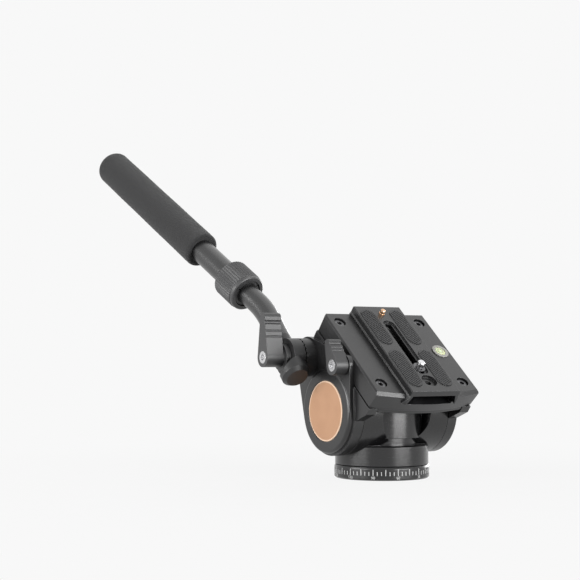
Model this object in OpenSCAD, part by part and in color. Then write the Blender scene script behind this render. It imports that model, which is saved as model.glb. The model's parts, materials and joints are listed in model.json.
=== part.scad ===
/* [Base] */
// Diameter of the scale ring that bolts to the tripod
base_d = 82; // [78:1:90]
// Height of the scale ring
ring_h = 11.2; // [10.5:0.1:13]
// Diameter of the pan drum above the scale ring
drum_d = 80.8; // [76:0.2:86]
// Height of the drum's top edge above the bottom face
drum_top = 28.9; // [28:0.1:31]
// Running gap between the scale ring and the drum
pan_gap = 0.3; // [0.2:0.05:0.5]
// Thickness of the scale ring's bottom wall
floor_t = 4; // [3.5:0.1:5]
// Width of the small bevels on the base's edges
base_bevel = 1.2; // [0.6:0.1:2]
// Height of the bevel round the scale ring's top
ring_bevel = 1.6; // [0.6:0.1:2]
// Width of the bevel round the scale ring's top
ring_bevel_w = 0.6; // [0.3:0.1:1]

/* [Tripod thread and pan spindle] */
// Wall radius of the 3/8 inch tripod thread
thread_r = 4.76; // [4.6:0.01:5]
// Depth of the tripod thread
thread_h = 11; // [9:0.5:11]
// Outer radius of the thread bush
bush_r = 8; // [7:0.1:8.4]
// Radius of the pan spindle
spindle_r = 9; // [8.6:0.1:10]
// Radius of the spindle's bolted flange
flange_r = 20; // [18:0.5:21]
// Thickness of the spindle's flange
flange_t = 4; // [3:0.5:5]
// Height of the spindle's shoulder above the bottom face
shoulder_z = 25.5; // [25:0.1:26]
// Radius of the spindle's threaded end
spindle_end_r = 7; // [6:0.1:7.5]
// Radius of the pan washer
pan_washer_r = 15; // [13:0.5:16]
// Thickness of the pan washer
pan_washer_t = 1.8; // [1.2:0.1:2.2]
// Height of the spindle nut
nut_h = 4.2; // [3:0.1:4.5]
// Number of screws that hold the spindle
spindle_screws_n = 3; // [3:1:6]
// Radius of the circle of spindle screws
spindle_screw_pcr = 14.5; // [13:0.1:16]
// Radius of the spindle screws
spindle_screw_r = 2; // [1.5:0.1:2.2]
// Radius of the spindle screws' heads
spindle_head_r = 3.4; // [3:0.1:3.8]
// Height of the spindle screws' heads
spindle_head_h = 2.2; // [1.6:0.1:2.6]
// Inner radius of the friction ring
friction_ri = 26; // [24:0.5:29]
// Outer radius of the friction ring
friction_ro = 36; // [33:0.5:38]
// Depth of the friction ring's groove
friction_depth = 0.8; // [0.6:0.1:1.5]

/* [Pan lock] */
// Height of the pan lock's axis
pan_lock_z = 22; // [21:0.1:22.5]
// Radius of the pan lock's stud
pan_stud_r = 3; // [2.5:0.1:3.4]
// Radius of the pan lock knob
pan_knob_r = 8; // [7:0.1:9]
// Length of the pan lock knob
pan_knob_l = 13; // [10:0.5:16]
// Gap between the drum and the pan lock knob
pan_knob_gap = 1.2; // [0.6:0.1:2]
// Length of the brass brake shoe
shoe_l = 4.6; // [4:0.1:6]

/* [Barrel and column] */
// Height of the tilt axis above the bottom face
tilt_z = 58; // [57:0.1:62]
// Diameter of the fixed tilt barrel
barrel_d = 76; // [72:0.5:78]
// Length of the fixed tilt barrel
barrel_w = 87.2; // [84:0.2:92]
// Diameter of the front-to-back arch in the barrel
arch_d = 50; // [46:0.5:52]
// Drop of the arch's axis below the tilt axis
arch_drop = 3; // [1:0.5:4]
// Diameter of the column in the arch
column_d = 70; // [66:0.5:72]
// Diameter of the neck under the column
neck_d = 62; // [56:0.5:64]
// Height of the neck
neck_h = 6; // [4:0.5:7]
// Radius of the drag chamber
chamber_r = 22; // [20.5:0.1:22.5]
// Half length of the drag chamber on the closed side
chamber_x = 24; // [22:0.5:25]

/* [Tilt shaft and drag] */
// Radius of the tilt shaft
shaft_r = 7; // [6:0.1:8]
// Wall of the tilt bushes
tilt_bush_t = 3; // [2:0.1:4]
// Length of the tilt bushes
tilt_bush_l = 8; // [6:0.5:9]
// Radius of the flange under the side disc
shaft_head_r = 12; // [10:0.5:14]
// Thickness of a drag plate
drag_t = 2; // [1.2:0.1:2.2]
// Gap between drag plates
drag_gap = 0.4; // [0.3:0.05:0.6]
// Number of pairs of drag plates
drag_n = 6; // [3:1:6]
// Mean radius of the counterbalance spring
balance_r = 13; // [12:0.5:15]
// Radius of the counterbalance spring's wire
balance_wire_r = 1.8; // [1.2:0.1:2]
// Turns of the counterbalance spring
balance_turns = 5; // [3:0.5:5]

/* [Side arms] */
// Forward tilt of the head as it stands
tilt_pose = 40; // [0:1:60]
// Gap between the barrel's ends and the arms
arm_gap = 0.5; // [0.3:0.1:1]
// Thickness of each side arm
arm_t = 8.7; // [8:0.1:10]
// Height of the arms' raised pad
pad_t = 4.4; // [3.5:0.1:6]
// Radius of the raised boss round the side disc
boss_r = 36; // [33:0.5:37]
// Height of the boss above the pad
boss_h = 1; // [0.6:0.1:3]
// Radius of the boss's rounded edge
boss_round = 2.6; // [1:0.1:2.8]
// Radius of the side disc
disc_r = 25.7; // [22:0.1:28]
// Height of the side disc above its boss
disc_proud = 0.2; // [0.1:0.1:0.5]
// Thickness of the side disc
disc_t = 1.6; // [1:0.1:2]
// Lowest corner of the arms at the front
arm_front_z = 33; // [32.5:0.1:36]
// Direction in which the arms' front edge leaves their round end
arm_front_angle = 151; // [145:1:165]
// Height of the arms' raised face
face_t = 0.9; // [0.5:0.1:1.5]
// Reach of the raised face before the tilt axis, under the platform
face_front = 15; // [10:0.5:20]
// Lowest edge of the arms at the rear
arm_rear_z = 30; // [26:0.5:34]

/* [Platform] */
// Height of the platform's top above the tilt axis
platform_top = 57.5; // [57:0.1:62]
// Thickness of the platform
platform_t = 18; // [16:0.1:18.5]
// Reach of the platform behind the tilt axis
platform_rear = 62; // [58:0.5:70]
// Reach of the platform's corners before the tilt axis
platform_front = 42.3; // [41:0.1:46]
// Bulge of the platform's front edge
platform_nose = 5.5; // [3:0.1:8]
// Width of the platform's edge bevels
platform_bevel = 1.4; // [0.6:0.1:2]
// Width of the bevel along the platform's front edge
nose_bevel = 3; // [1:0.1:4]
// Set-back of the front face's lower edge
nose_slope = 2.5; // [1:0.1:4]
// Drop of the lip under the platform's front
lip_drop = 3.2; // [2:0.1:4]
// Length of the lip under the platform's front
lip_l = 9; // [6:0.5:9]
// Depth of the plate channel
channel_depth = 8; // [7:0.1:8.4]
// Depth of the relief in the channel's floor
relief_h = 2; // [1:0.1:3]
// Distance of the arm screws from the platform's sides
arm_screw_inset = 10.6; // [9:0.1:12]
// Place of the rear arm screws behind the tilt axis
arm_screw_rear = 49.7; // [46:0.1:52]
// Place of the front arm screws before the tilt axis
arm_screw_front = 29.7; // [29:0.1:32]
// Radius of the arm screws' counterbores
counterbore_r = 5.3; // [5:0.1:6]
// Depth of the arm screws' counterbores
counterbore_h = 6; // [5.5:0.1:8]
// Radius of the arm screws' shanks
arm_screw_r = 2.5; // [2:0.1:3]
// Radius of the lugs for the arm screws
lug_r = 6; // [5.5:0.1:7]
// Height of the lugs for the arm screws
lug_h = 7.5; // [6:0.1:8]

/* [Bubble level] */
// Distance of the bubble level from the platform's right side
bubble_inset = 11.2; // [9:0.1:13]
// Place of the bubble level behind the tilt axis
bubble_y = 9.9; // [0:0.1:25]
// Outer radius of the bubble level's ring
bubble_r = 7.6; // [6:0.1:8.5]
// Depth of the bubble level's pocket
bubble_h = 6; // [5:0.1:8]
// Width of the bubble level's ring
bubble_wall = 2.6; // [1.8:0.1:3]
// Radius of the two small holes in the bubble level's ring
bubble_dot_r = 0.5; // [0.3:0.05:0.6]

/* [Plate lock] */
// Place of the plate lock's axis behind the tilt axis
plate_lock_y = 4.5; // [0:0.1:10]
// Height of the plate lock's axis above the tilt axis
plate_lock_z = 46.9; // [46:0.1:47.5]
// Radius of the pad round the plate lock
plate_lock_pad_r = 9.2; // [8.6:0.1:10]
// Radius of the plate lock lever's hub
plate_hub_r = 8; // [7:0.1:8.4]
// Length of the plate lock lever's hub
plate_hub_l = 11.6; // [9:0.1:13]
// Reach of the plate lock lever
plate_lever_reach = 23; // [21:0.5:30]
// Direction of the plate lock lever above the rear
plate_lever_angle = 30; // [0:1:40]
// Radius of the plate lock's stud
plate_stud_r = 4; // [3:0.1:4.4]
// Length of the clamp jaw
jaw_l = 38; // [30:0.5:44]
// Thickness of the clamp jaw
jaw_t = 6; // [5:0.1:7]
// Thickness of the rail over the clamp jaw
jaw_cover = 2.6; // [2:0.1:3]
// Depth of the clamp jaw below the channel floor
jaw_drop = 7; // [6:0.1:7.5]

/* [Quick release plate] */
// Width of the plate's top
plate_w = 49.3; // [46:0.1:50]
// Length of the plate
plate_l = 112; // [106:0.5:130]
// Place of the plate's middle behind the tilt axis
plate_y = 6.8; // [0:0.1:12]
// Height of the plate's top above the platform's top
plate_rise = 6.9; // [6:0.1:8]
// Thickness of the plate's slab
slab_t = 5.2; // [4.8:0.1:6]
// Width across the plate's flared feet
foot_w = 56; // [54:0.1:58]
// Thickness of the plate's feet
foot_t = 3; // [2.5:0.1:3.5]
// Gap between the plate and its channel
slide_gap = 0.3; // [0.2:0.05:0.5]
// Height of the rubber pads above the plate
rubber_h = 0.7; // [0.4:0.1:1.2]
// Depth of the rubber pads in the plate
rubber_depth = 1.4; // [1:0.1:2]
// Width of the rubber pads
rubber_w = 14.4; // [12:0.1:14.8]
// Distance of the rubber pads from the middle
rubber_x = 15.3; // [15:0.1:16]
// Length of the rubber pads
rubber_l = 46; // [40:0.5:47]
// Place of the rear rubber pads behind the plate's middle
rubber_rear_y = 27.8; // [27.5:0.1:30]
// Place of the front rubber pads before the plate's middle
rubber_front_y = 26.4; // [25:0.1:27]
// Number of grooves in each rubber pad
rib_n = 24; // [8:1:28]
// Width of the grooves in the rubber pads
rib_w = 0.8; // [0.4:0.1:1]
// Slant of the grooves in the rubber pads
rib_slant = 30; // [0:1:45]

/* [Camera screw and video pin] */
// Radius of the 1/4 inch camera screw
camera_r = 3.17; // [3:0.01:3.3]
// Radius of the camera screw's neck under its thread
camera_neck_r = 2.3; // [2:0.1:2.6]
// Height of the camera screw above the plate
camera_h = 5.6; // [4.5:0.1:7]
// Radius of the camera screw's head
camera_head_r = 8.5; // [7:0.1:10]
// Height of the camera screw's head
camera_head_h = 4; // [3:0.1:5]
// Place of the camera screw before the plate's middle
camera_y = 24.8; // [10:0.1:30]
// Width of the plate's slot
slot_w = 7; // [6.8:0.1:8]
// Rear end of the slot behind the plate's middle
slot_rear = 34.2; // [20:0.1:36]
// Front end of the slot before the plate's middle
slot_front = 32; // [31:0.1:33]
// Width of the recess round the slot
slot_recess_w = 12; // [11.5:0.1:14]
// Depth of the recess round the slot
slot_recess_h = 1.6; // [1.2:0.1:2]
// Outer radius of the camera screw's retaining clip
clip_r = 5.4; // [5:0.1:5.6]
// Place of the plate's round hole before the plate's middle
plate_hole_y = 42.4; // [42:0.1:46]
// Radius of the plate's round hole
plate_hole_r = 2.6; // [2:0.1:3]
// Radius of the mouth of the plate's round hole
plate_mouth_r = 7; // [5:0.1:7.2]
// Radius of the video pin
pin_r = 2.25; // [2:0.05:2.5]
// Height of the video pin above the plate
pin_h = 4.6; // [3:0.1:6]
// Place of the video pin behind the plate's middle
pin_y = 46.2; // [45:0.1:48]
// Radius of the video pin's guide in the plate
pin_guide_r = 2.7; // [2.5:0.05:2.9]
// Radius of the pin's flange
pin_flange_r = 3.6; // [3.2:0.1:4]
// Turns of the pin's spring
pin_spring_turns = 4; // [3:0.5:4.5]
// Radius of the pin spring's wire
pin_wire_r = 0.35; // [0.25:0.05:0.4]

/* [Tilt lock] */
// Radius of the tilt lock lever's hub
tilt_hub_r = 9; // [8:0.1:11]
// Length of the tilt lock lever's hub
tilt_hub_l = 12; // [10:0.1:14]
// Reach of the tilt lock lever
tilt_lever_reach = 33; // [26:0.5:36]
// Radius of the washer under the tilt lock lever
tilt_washer_r = 14; // [12:0.5:18]
// Direction of the tilt lock lever above the rear
tilt_lever_angle = 50; // [30:1:90]

/* [Handle joint] */
// Place of the handle's axis behind the tilt axis
rosette_y = 52.3; // [50:0.1:55]
// Height of the handle's axis above the tilt axis
rosette_z = 15.5; // [12:0.1:18]
// Radius of the handle's rosettes
rosette_r = 16.5; // [15:0.1:17]
// Length of the fixed rosette
rosette_l = 10.6; // [8:0.1:12]
// Gap between the two rosettes
rosette_gap = 0.5; // [0.4:0.1:0.8]
// Number of the rosettes' teeth
rosette_teeth = 24; // [12:4:36]
// Depth of the rosettes' teeth
tooth_h = 1; // [0.6:0.1:1.4]
// Thickness of the handle clamp's rosette
clamp_t = 11.6; // [10:0.1:13]
// Radius of the clamp's lower lobe
lobe_r = 12.6; // [12.4:0.1:14]
// Reach of the clamp's lobe below the axis
lobe_drop = 24.5; // [22:0.5:28]
// Offset of the clamp's lobe outwards from the tube's axis
lobe_shift = 2; // [1:0.1:2.2]
// Radius of the flat round the clamp's stud on the outer side
spotface_r = 16.9; // [16:0.1:18]
// Height of the clamp's neck up to the tube
neck_l = 20; // [18:0.5:24]
// Length of the clamp's spigot inside the tube
spigot_l = 22; // [15:0.5:24]
// Distance of the tube's axis from the clamp's outer flat
tube_inset = 3.9; // [3:0.1:5]
// Radius of the clamp's stud
clamp_stud_r = 4; // [3.5:0.1:4.4]
// Radius of the flange under the handle lock lever
hub_flange_r = 11.5; // [10:0.1:13]
// Thickness of the flange under the handle lock lever
hub_flange_t = 4.6; // [3.5:0.1:6]
// Radius of the handle lock lever's hub
clamp_hub_r = 8.4; // [7.5:0.1:9]
// Length of the handle lock lever's hub
clamp_hub_l = 17.4; // [14:0.1:20]
// Reach of the handle lock lever
clamp_lever_reach = 38; // [32:0.5:42]

/* [Handle] */
// Angle of the tube's root above the platform
handle_angle = 5.5; // [-30:0.5:40]
// Outer radius of the bent tube
tube_r = 9.8; // [9:0.1:10.4]
// Wall of the bent tube
tube_wall = 1.6; // [1:0.1:2]
// Start of the tube's bend from the handle's axis
bend_start = 46.5; // [46:0.5:56]
// Radius of the tube's bend
bend_r = 95; // [70:1:140]
// Angle of the tube's bend
bend_angle = 15.3; // [8:0.1:30]
// Roll of the tube's bend outwards
bend_roll = 34.5; // [0:0.5:45]
// Distance from the bend to the collar
collar_start = 15; // [6:0.5:30]
// Length of the lock collar
collar_l = 31; // [28:0.5:40]
// Radius of the lock collar
collar_r = 17.9; // [16.4:0.05:18.5]
// Number of the lock collar's ribs
collar_ribs = 44; // [30:2:60]
// Depth of the lock collar's ribs
collar_rib_h = 0.7; // [0.4:0.1:1]
// Outer radius of the outer tube
outer_r = 11.1; // [11:0.1:12]
// Clearance between the tubes
tube_clear = 0.08; // [0.05:0.01:0.1]
// Bare length of the outer tube between collar and grip
bare_l = 48.5; // [30:0.5:60]
// Length of the foam grip
grip_l = 182; // [160:1:220]
// Radius of the foam grip
grip_r = 17.1; // [16:0.1:19]
// Radius of the grip's rounded far end
grip_round = 8; // [5:0.5:8]
// Radius of the grip's rounded near end
grip_near_round = 3; // [1.5:0.1:4]
// Thickness of the grip's foam at the far end
grip_cap_t = 5; // [3:0.5:8]
// Length of the bent tube inside the outer tube
tube_inside = 151; // [130:1:170]

/* [Hidden] */
$fn = 96;

black = "#26262a";
dark_steel = "#5a5a5e";
silver = "#c9c9cc";
brass = "#b58a4a";
copper = "#c8925f";
rubber = "#18181a";
foam = "#39393b";

fit = 0.02;
seam = 0.12;
ledge = 0.5;
lever_gap = 0.4;
run = 0.04;
eps = 1;
arm_in = barrel_w/2 + arm_gap;
arm_out = arm_in + arm_t;
pad_out = arm_out + pad_t;
boss_out = pad_out + boss_h;
disc_floor = boss_out - disc_t + disc_proud;
arm_screw_x = arm_out - arm_screw_inset;
arm_head_h = 4.4;
arm_socket_r = 2.3;
bubble_x = arm_out - bubble_inset;
bubble_dot_angle = 155;
platform_bottom = platform_top - platform_t;
lug_z = platform_bottom - lug_h;
floor_z = platform_top - channel_depth;
plate_top = platform_top + plate_rise;
slab_bottom = plate_top - slab_t;
foot_bottom = floor_z + slide_gap;
nose_y = -platform_front - platform_nose;
nose_r = (pow(arm_out, 2) + pow(platform_nose, 2))/(2*platform_nose);
flank = (foot_w - plate_w)/2/(slab_bottom - foot_bottom);
rosette_out = pad_out + rosette_l;
clamp_in = rosette_out + rosette_gap;
clamp_out = clamp_in + clamp_t;
tube_x = -clamp_out + tube_inset;
hub_x = clamp_out + lever_gap;
lever_x = hub_x + hub_flange_t;
drum_bottom = ring_h + pan_gap;
jaw_x = foot_w/2 + slide_gap + jaw_t;
outer_len = collar_l + bare_l + grip_l - grip_cap_t;
chamfer_small = 0.6;
plate_x0 = -barrel_w/2 + 1.6;
plate_x1 = plate_x0 + tilt_bush_l;
drag_x1 = chamber_x - drag_gap;
drag_x0 = drag_x1 - 2*drag_n*(drag_t + drag_gap) + drag_gap;
balance_gap = 0.4;
balance_l = drag_x0 - plate_x1 - 2*balance_gap;
balance_pitch = (balance_l - 2*balance_wire_r)/balance_turns;
hole_gap = 0.1;
head_sink = 0.4;
socket_share = 0.55;
knob_y0 = drum_d/2 + pan_knob_gap;
friction_gap = 0.15;
jaw_clear = 0.65;
screw_head_h = 2.6;
cap_ratio = 0.62;
stud_share = 0.6;
stud_gap = 0.3;
lever_taper = 0.5;
groove_at = [0.79, 0.6, 0.47];
groove_r = 0.9;
dip_r = 1.8;
right_boss_h = 3.2;
right_seat = arm_out + right_boss_h - 1;
tilt_washer_t = 1.6;
tilt_end_r = shaft_r - 2;
tilt_hub_x = right_seat + tilt_washer_t + lever_gap;
plate_hub_x = pad_out + lever_gap;
slot_mid = (slot_rear - slot_front)/2;
slot_l = slot_rear + slot_front;
cup_floor = 1.2;
cup_z = foot_bottom + 0.6;
pin_flange_t = 1.2;
pin_flange_z = slab_bottom - 0.2;
pin_spring_z = cup_z + cup_floor + pin_wire_r + 0.2;
pin_spring_pitch = (pin_flange_z - pin_flange_t - pin_spring_z - pin_wire_r - 0.3)/pin_spring_turns;
clip_t = 1;
stud_z = plate_top + rubber_h + 0.1;
screw_drop = 0.3;
screw_bevel = 0.8;
pin_bevel = 0.9;
driver_w = 1.8;
driver_h = 1.5;
tooth_l = 5;
spigot_r = 10;
lobe_bevel = 3;
neck_start = 4;
stem_step = 0.4;
paddle_inset = 1.4;
tube_screw_r = 2.5;
tube_screw_l = 6;
mouth_h = 7;
plug_l = 12;
collet_r = outer_r + 1.6;

// Half width of the plate's flank at a height
function flank_x(z) = plate_w/2 + (slab_bottom - z)*flank;
// Direction of the common tangent from the middle circle to a circle at c
function tangent_angle(c, r0, r1, side) = atan2(c[1], c[0]) + side*acos((r0 - r1)/norm(c));
function polar(r, a) = [r*cos(a), r*sin(a)];
// Direction of the common tangent between two circles away from the middle
function pair_angle(c0, r0, c1, r1, side) = tangent_angle(c1 - c0, r0, r1, side);

module rod_x(r, x0, x1) {
    translate([min(x0, x1), 0, 0]) rotate([0, 90, 0]) cylinder(r = r, h = abs(x1 - x0));
}

module rod_y(r, y0, y1) {
    translate([0, min(y0, y1), 0]) rotate([-90, 0, 0]) cylinder(r = r, h = abs(y1 - y0));
}

module rod_z(r, z0, z1) {
    translate([0, 0, min(z0, z1)]) cylinder(r = r, h = abs(z1 - z0));
}

// Extrudes an outline of the y-z plane along x
module slab_x(x0, x1) {
    translate([min(x0, x1), 0, 0]) rotate([90, 0, 90]) linear_extrude(abs(x1 - x0)) children();
}

// Extrudes an outline of the x-z plane along y
module slab_y(y0, y1) {
    translate([0, max(y0, y1), 0]) rotate([90, 0, 0]) linear_extrude(abs(y1 - y0)) children();
}

module revolve_x(x0, side) {
    translate([x0, 0, 0]) rotate([0, side*90, 0]) rotate_extrude() children();
}

// A half profile is turned about y, with its second coordinate along y
module revolve_y() {
    rotate([-90, 0, 0]) rotate_extrude() children();
}

// The level frame of the platform, tipped forward about the tilt axis
module tilted() {
    translate([0, 0, tilt_z]) rotate([tilt_pose, 0, 0]) children();
}

// The frame of the tube's root, with y along the tube
module handle_frame() {
    tilted() translate([0, rosette_y, rosette_z]) rotate([handle_angle, 0, 0]) children();
}

module tube_frame() {
    handle_frame() translate([tube_x, 0, 0]) children();
}

// The frame at the end of the tube's bend, with y along the grip
module grip_frame() {
    tube_frame()
        translate([0, bend_start, 0]) rotate([0, bend_roll, 0]) translate([0, 0, -bend_r])
            rotate([-bend_angle, 0, 0]) translate([0, 0, bend_r]) children();
}

// A coil of round wire about x, as one unbroken tube with straight ends
module coil_x(r, wire, pitch, turns, sides, rings) {
    steps = ceil(turns*rings);
    lead = 2*wire;
    at = [for (i = [0:steps]) let (a = 360*i/rings) [pitch*i/rings, r*cos(a), r*sin(a)]];
    head = at[0] - [0, 0, lead];
    turn_end = 360*steps/rings;
    tail = at[steps] + lead*[0, -sin(turn_end), cos(turn_end)];
    path = concat([head], at, [tail]);
    angles = concat([0], [for (i = [0:steps]) 360*i/rings], [turn_end]);
    count = len(path);
    points = [for (i = [0:count - 1]) for (k = [0:sides - 1])
        let (b = 360*k/sides, out = [0, cos(angles[i]), sin(angles[i])])
            path[i] + wire*(cos(b)*out + sin(b)*[1, 0, 0])];
    walls = [for (i = [0:count - 2]) for (k = [0:sides - 1]) for (h = [0, 1])
        let (n = (k + 1) % sides, a = i*sides, c = (i + 1)*sides)
            h == 0 ? [a + k, a + n, c + k] : [a + n, c + n, c + k]];
    first = [for (k = [1:sides - 2]) [0, k + 1, k]];
    last = [for (k = [1:sides - 2]) [(count - 1)*sides, (count - 1)*sides + k, (count - 1)*sides + k + 1]];
    echo(coil_self_gap = pitch - 2*wire);
    polyhedron(points = points, faces = concat(walls, first, last));
}

// A thumb lever about x: a hub and a ridged paddle that leaves along z
module lever_body(hub_r, hub_l, reach, inset) {
    tip_r = hub_r*lever_taper;
    difference() {
        union() {
            rod_x(hub_r, 0, -hub_l);
            slab_x(-hub_l, -inset) {
                polygon([polar(hub_r - seam, 172), [0, -hub_r/2], polar(hub_r - seam, 8),
                         [tip_r - seam, reach - tip_r], [-tip_r + seam, reach - tip_r]]);
                translate([0, reach - tip_r]) circle(tip_r);
            }
        }
        for (i = [0:len(groove_at) - 1]) {
            z = reach*groove_at[i];
            face = hub_r - (hub_r - tip_r)*z/(reach - tip_r);
            r = i == 0 ? dip_r : groove_r;
            translate([0, -face - r/4, z]) rod_x(r, eps, -hub_l - eps);
        }
    }
}

// The stud's bore and the seat of the cap screw in a lever's hub
module lever_bores(hub_r, hub_l, stud_r, stud_depth) {
    rod_x(stud_r + run, eps, -stud_depth);
    rod_x(hub_r*cap_ratio + fit, -hub_l + screw_head_h, -hub_l - eps);
    rod_x(stud_r*stud_share, -stud_depth + eps, -hub_l - eps);
}

module cap_screw(hub_r, hub_l, stud_r) {
    translate([-hub_l + screw_head_h, 0, 0])
        socket_screw_x(hub_r*cap_ratio, screw_head_h, stud_r*0.5, 1);
}

// A round socket screw along x with its head outwards
module socket_screw_x(head_r, head_h, shank_r, shank_l) {
    socket_r = head_r*socket_share;
    socket_h = head_h*0.6;
    difference() {
        union() {
            rod_x(head_r, 0, -head_h);
            rod_x(shank_r, 0, shank_l);
        }
        translate([-head_h - eps, 0, 0]) rotate([0, 90, 0])
            cylinder(r = socket_r, h = socket_h + eps, $fn = 6);
    }
}

module scale_ring() color(black) {
    difference() {
        rotate_extrude() difference() {
            polygon([[bush_r + fit, 0], [base_d/2 - base_bevel, 0], [base_d/2, base_bevel],
                     [base_d/2, ring_h - ring_bevel], [base_d/2 - ring_bevel_w, ring_h],
                     [bush_r + fit, ring_h]]);
            translate([0, floor_t]) square([flange_r + 0.3, ring_h]);
            translate([friction_ri, ring_h - friction_depth])
                square([friction_ro - friction_ri, ring_h]);
        }
        spindle_screw_places() {
            rod_z(spindle_screw_r + hole_gap, -eps, floor_t + eps);
            rod_z(spindle_head_r + 2*hole_gap, -eps, head_sink + spindle_head_h);
        }
    }
}

module spindle_screw_places() {
    for (i = [0:spindle_screws_n - 1])
        rotate(360*i/spindle_screws_n + 30) translate([spindle_screw_pcr, 0, 0]) children();
}

module thread_bush() color(brass) difference() {
    rod_z(bush_r, 0, thread_h);
    rod_z(thread_r, -eps, thread_h + eps);
}

module pan_spindle() color(dark_steel) difference() {
    union() {
        rod_z(flange_r, floor_t, floor_t + flange_t);
        rod_z(spindle_r, floor_t, shoulder_z);
        rod_z(spindle_end_r, shoulder_z - eps, shoulder_z + pan_washer_t + nut_h);
    }
    rod_z(bush_r + fit, floor_t - eps, thread_h + fit);
    spindle_screw_places() rod_z(spindle_screw_r + fit, floor_t - eps, floor_t + flange_t + eps);
}

module spindle_screws() color(dark_steel)
    spindle_screw_places() difference() {
        union() {
            rod_z(spindle_head_r, head_sink, head_sink + spindle_head_h);
            rod_z(spindle_screw_r, head_sink, floor_t + flange_t);
        }
        translate([0, 0, head_sink - eps])
            cylinder(r = spindle_head_r*socket_share, h = eps + spindle_head_h*0.6, $fn = 6);
    }

module pan_washer() color(silver) difference() {
    rod_z(pan_washer_r, shoulder_z, shoulder_z + pan_washer_t);
    rod_z(spindle_end_r + fit, shoulder_z - eps, shoulder_z + pan_washer_t + eps);
}

module spindle_nut() color(silver) difference() {
    translate([0, 0, shoulder_z + pan_washer_t]) cylinder(r = spindle_end_r*1.55, h = nut_h, $fn = 6);
    rod_z(spindle_end_r + fit, shoulder_z, shoulder_z + pan_washer_t + nut_h + eps);
}

module friction_ring() color("#d8d6cf") difference() {
    rod_z(friction_ro - 0.1, ring_h - friction_depth, drum_bottom - friction_gap);
    rod_z(friction_ri + 0.1, 0, drum_bottom + eps);
}

module pan_housing() color(black) difference() {
    union() {
        rotate_extrude()
            polygon([[0, drum_bottom], [drum_d/2 - ledge, drum_bottom], [drum_d/2, drum_bottom + ledge],
                     [drum_d/2, drum_top - base_bevel], [drum_d/2 - base_bevel, drum_top], [0, drum_top]]);
        rod_z(neck_d/2, drum_top - eps, drum_top + neck_h + eps);
        intersection() {
            rod_z(column_d/2, drum_top + neck_h, tilt_z + barrel_d);
            union() {
                translate([0, 0, tilt_z]) rod_x(barrel_d/2 - 1, -barrel_w/2, barrel_w/2);
                rod_z(column_d/2, 0, tilt_z);
            }
        }
        difference() {
            translate([0, 0, tilt_z]) rod_x(barrel_d/2, -barrel_w/2, barrel_w/2);
            translate([0, 0, tilt_z - arch_drop]) rod_y(arch_d/2, -barrel_d, barrel_d);
        }
        translate([0, 0, pan_lock_z]) rod_y(pan_stud_r + 3, drum_d/2 - 5, drum_d/2 + 0.8);
    }
    translate([0, 0, tilt_z]) {
        rod_x(chamber_r, -barrel_w/2 - eps, chamber_x);
        rod_x(chamber_r + 1, -barrel_w/2 + 0.2, -barrel_w/2 + 1.5);
        rod_x(shaft_r + tilt_bush_t + fit, chamber_x - eps, barrel_w/2 + eps);
    }
    rod_z(spindle_r + tilt_bush_t + fit, drum_bottom - eps, pan_lock_z - pan_stud_r - 0.2);
    rod_z(spindle_r + 0.3, drum_bottom, shoulder_z);
    rod_z(pan_washer_r + 0.5, shoulder_z - 0.3, tilt_z);
    translate([0, 0, pan_lock_z]) rod_y(pan_stud_r + run, 0, drum_d);
}

module pan_bush() color(brass) difference() {
    rod_z(spindle_r + tilt_bush_t, drum_bottom + 0.1, pan_lock_z - pan_stud_r - 0.3);
    rod_z(spindle_r + run, 0, pan_lock_z);
}

module bearing_plate() color(silver) translate([0, 0, tilt_z]) difference() {
    rod_x(chamber_r - 0.03, plate_x0, plate_x1);
    rod_x(shaft_r + tilt_bush_t + fit, plate_x0 - eps, plate_x1 + eps);
}

module retaining_ring() color(dark_steel) translate([0, 0, tilt_z]) difference() {
    rod_x(chamber_r + 0.9, -barrel_w/2 + 0.3, -barrel_w/2 + 1.45);
    rod_x(chamber_r - 2.5, -barrel_w, 0);
    translate([-barrel_w, -3, -chamber_r - 5]) cube([barrel_w, 6, chamber_r]);
}

module tilt_bushes() color(brass) translate([0, 0, tilt_z]) {
    difference() {
        rod_x(shaft_r + tilt_bush_t, plate_x0, plate_x1);
        rod_x(shaft_r + run, plate_x0 - eps, plate_x1 + eps);
    }
    difference() {
        rod_x(shaft_r + tilt_bush_t, barrel_w/2 - tilt_bush_l - 5, barrel_w/2);
        rod_x(shaft_r + run, 0, barrel_w);
    }
}

module drag_stators() color(silver) translate([0, 0, tilt_z])
    for (i = [0:drag_n - 1])
        translate([drag_x1 - 2*i*(drag_t + drag_gap), 0, 0]) difference() {
            rod_x(chamber_r - 0.05, -drag_t, 0);
            rod_x(shaft_r + 1.5, -drag_t - eps, eps);
        }

module drag_rotors() color(dark_steel) tilted()
    for (i = [0:drag_n - 1])
        translate([drag_x1 - (2*i + 1)*(drag_t + drag_gap), 0, 0]) difference() {
            rod_x(chamber_r - 2, -drag_t, 0);
            rod_x(shaft_r + fit, -drag_t - eps, eps);
        }

module counterbalance_spring() color(dark_steel)
    translate([plate_x1 + balance_gap + balance_wire_r, 0, tilt_z])
        coil_x(balance_r, balance_wire_r, balance_pitch, balance_turns, 6, 10);

module pan_lock_knob() color(black) translate([0, 0, pan_lock_z]) difference() {
    rotate([-90, 0, 0]) translate([0, 0, knob_y0]) {
        lobes = 8;
        lobe_out = 1.4;
        lobe_start = 2.5;
        lobe_cut_r = 2.2;
        intersection() {
            cylinder(r1 = pan_knob_r - 1, r2 = pan_knob_r + 3, h = pan_knob_l);
            difference() {
                cylinder(r = pan_knob_r, h = pan_knob_l);
                for (i = [0:lobes - 1])
                    rotate(360*i/lobes) translate([pan_knob_r + lobe_out, 0, lobe_start])
                        cylinder(r = lobe_cut_r, h = pan_knob_l);
            }
        }
    }
    rod_y(pan_stud_r + fit, 0, knob_y0 + pan_knob_l*0.7);
}

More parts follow.
